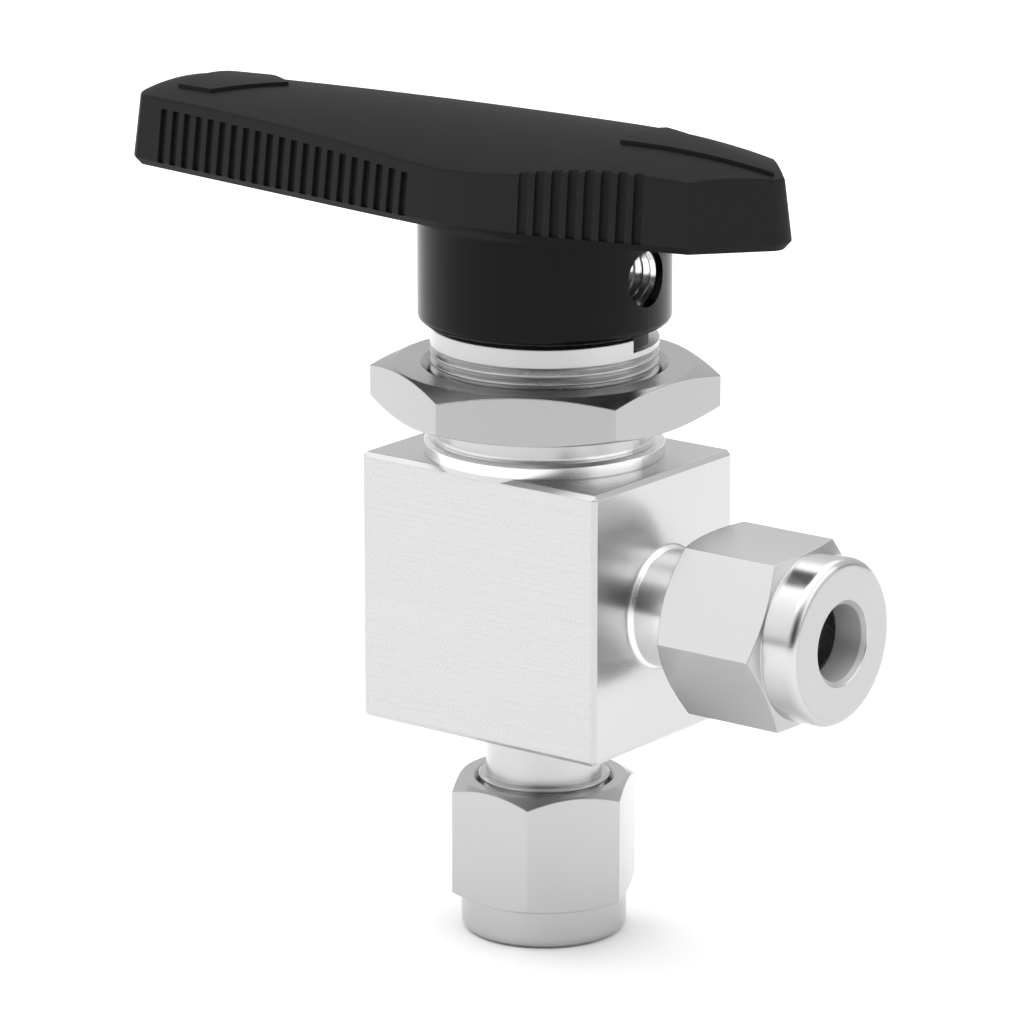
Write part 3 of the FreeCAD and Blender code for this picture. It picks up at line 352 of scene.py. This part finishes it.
def block_steel():
    """The body: brushed long faces, a turned port face, painted light on the collar and side end, and
    painted shade on the neck.
    """
    material = new_material("block_steel")
    set_inputs(material, {"Metallic": 1.0, "Anisotropic": 0.65})
    upright = turned_about(material, STEM_AXIS)
    sideways = turned_about(material, SIDE_AXIS)
    place = parts_of(material, object_place(material))
    above = maths(material, "GREATER_THAN", place["Z"], BLOCK_LOW)
    inside = maths(material, "MULTIPLY", above, maths(material, "LESS_THAN", place["Z"], BLOCK_HIGH))
    beyond = maths(material, "GREATER_THAN", place["X"], BLOCK_FRONT)
    port = maths(material, "MAXIMUM", maths(material, "MULTIPLY", inside, facing(material, "X")), beyond)
    brushed = maths(material, "MULTIPLY", facing(material, "Y"), maths(material, "SUBTRACT", inside, port))
    lines = noise(material, stretched(material, BRUSHED_GRAIN), 1.0, detail=4.0)
    depth = remap(material, brushed, 0.2, 1.0)
    lines = maths(material, "MULTIPLY", maths(material, "SUBTRACT", lines, 0.5), depth)
    finish(material, maths(material, "ADD", lines, 0.5), grey(0.56), 0.26, 0.05)
    # Painted light: a much lighter steel colour on the collar and on the side end beyond the port's start.
    block = maths(material, "SUBTRACT", inside, maths(material, "GREATER_THAN", place["X"], PORT_START))
    below_neck = remap(material, place["Z"], 1.0, 0.0, COLLAR_TOP - BLEND / 2, COLLAR_TOP)
    below_neck = maths(material, "MULTIPLY", below_neck, above)
    painted_light_mask = maths(material, "MULTIPLY", below_neck, maths(material, "SUBTRACT", 1.0, block))
    recolour(material, painted_light_mask, grey(0.86))
    # Painted shade: a darker steel colour on the neck above the collar.
    neck = maths(material, "GREATER_THAN", place["Z"], COLLAR_TOP)
    recolour(material, neck, grey(0.5))
    tangent = choose(material, port, upright, sideways)
    tangent = choose(material, brushed, tangent, (0.0, 0.0, 1.0))
    link(material, tangent, shader_of(material).inputs["Tangent"])
    soft_edges(material)
    return material


def plastic(name, colour, roughness):
    """Plastic with a faint orange peel."""
    material = new_material(name)
    set_inputs(material, {"Base Color": (*colour, 1), "Roughness": roughness})
    bump(material, noise(material, object_place(material), 4000.0), 0.01 * MM)
    return material


def handle_nylon():
    """Moulded black nylon, matt on the bar and glossier on the skirt, with painted light on the bar's
    upright faces.
    """
    material = new_material("handle_nylon")
    set_inputs(material, {"Specular IOR Level": 0.12})
    height = parts_of(material, object_place(material))["Z"]
    on_bar = remap(material, height, 0, 1, BAR_FOOT - BLEND, BAR_FOOT + BLEND)
    speckle = noise(material, object_place(material), 5000.0, detail=3.0)
    level = maths(material, "ABSOLUTE", normal_of(material)["Z"], 0.0)
    upright = maths(material, "SUBTRACT", 1.0, level)
    # Painted light: a lighter nylon colour on the upright faces of the bar.
    painted_flank_light = maths(material, "MULTIPLY", on_bar, remap(material, upright, 0, 1, 0.2, 0.7))
    colour = tint(material, painted_flank_light, (0.002, 0.002, 0.0022), (0.014, 0.014, 0.0145))
    link(material, colour, shader_of(material).inputs["Base Color"])
    link(material, remap(material, on_bar, 0.2, 0.6), shader_of(material).inputs["Roughness"])
    bump(material, speckle, 0.012 * MM, 0.6)
    return material


def dress(material, *names):
    """Give a material to each of the named pieces."""
    for name in names:
        data = nodes[name].data
        data.materials.clear()
        data.materials.append(material)


make_camera()
make_world()
make_floor()
make_light("key_box", -55, 40, (1.6, 1.2), 3.0)
make_light("top_box", 20, 85, (1.3, 1.3), 5.0)
make_light("right_box", 110, 30, (1.0, 0.8), 2.5)
make_light("rear_box", 215, 65, (1.2, 0.9), 3.0)

hidden_steel = ["ball_stem", "gland", "packing_bolt"]
for piece in ("seat_ring", "seat_disc", "front_ferrule", "back_ferrule"):
    hidden_steel += [f"side_{piece}", f"bottom_{piece}"]

dress(block_steel(), "valve_body")
dress(side_nut_steel(), "side_nut")
dress(bottom_nut_steel(), "bottom_nut")
dress(turned_steel("panel_nut_steel", grey(0.41), 0.25, STEM_AXIS, 0.7), "panel_nut")
dress(steel("inner_steel", grey(0.58), 0.28, EVEN_GRAIN, 0.05), *hidden_steel)
dress(steel("insert_steel", (0.82, 0.82, 0.83), 0.16, EVEN_GRAIN, 0.04), "handle_insert", "set_screw")
dress(steel("spring_steel", (0.5, 0.5, 0.52), 0.3, EVEN_GRAIN, 0.05),
      "disc_spring_lower", "disc_spring_upper", "grounding_spring")
dress(plastic("packing_white", (0.8, 0.8, 0.78), 0.45), "packing")
dress(plastic("bushing_tan", (0.45, 0.36, 0.24), 0.5), "stem_bushing")
dress(handle_nylon(), "handle")

scene.view_settings.view_transform = "Standard"
